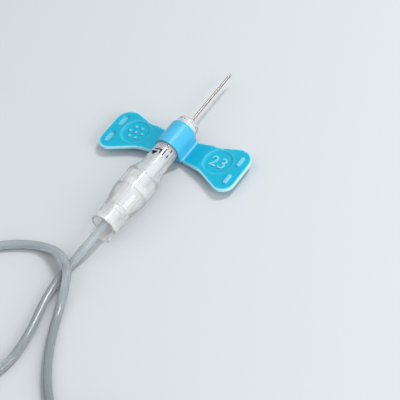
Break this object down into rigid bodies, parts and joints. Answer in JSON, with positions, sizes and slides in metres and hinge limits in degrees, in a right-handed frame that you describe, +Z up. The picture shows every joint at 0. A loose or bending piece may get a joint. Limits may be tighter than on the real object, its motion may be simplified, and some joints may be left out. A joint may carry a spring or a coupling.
{
  "type": "butterfly needle",
  "caption": "Winged infusion needle: a fine steel needle in a clear barrel with flexible blue wings, thin tubing and a luer connector; the needle slides back into the barrel.",
  "frame": {"origin": "centre of the base of the winged body, on the surface it lies on, without the tube and its connector", "axes": "+Y to the needle's tip, +X to the right wing seen from behind, +Z up"},
  "size_m": [0.0743, 0.1041, 0.0082],
  "materials": {
    "wing": "soft satin moulding",
    "clear_body": "clear, slightly milky",
    "carrier": "milky translucent",
    "needle_steel": "fine drawn steel",
    "adhesive": "clear cured adhesive",
    "tube": "clear flexible",
    "connector": "clear rigid"
  },
  "bodies": {
    "housing": {"wing_set": "wing", "front_barrel": "clear_body", "rear_cap": "clear_body"},
    "carrier": {"needle_carrier": "carrier", "needle": "needle_steel", "needle_bond": "adhesive", "tubing": "tube", "luer_connector": "connector"}
  },
  "joints": [
    {"name": "needle_slide", "type": "slide", "parent": "housing", "child": "carrier", "axis": [0, -1, 0], "range_m": [0, 0.021]}
  ]
}
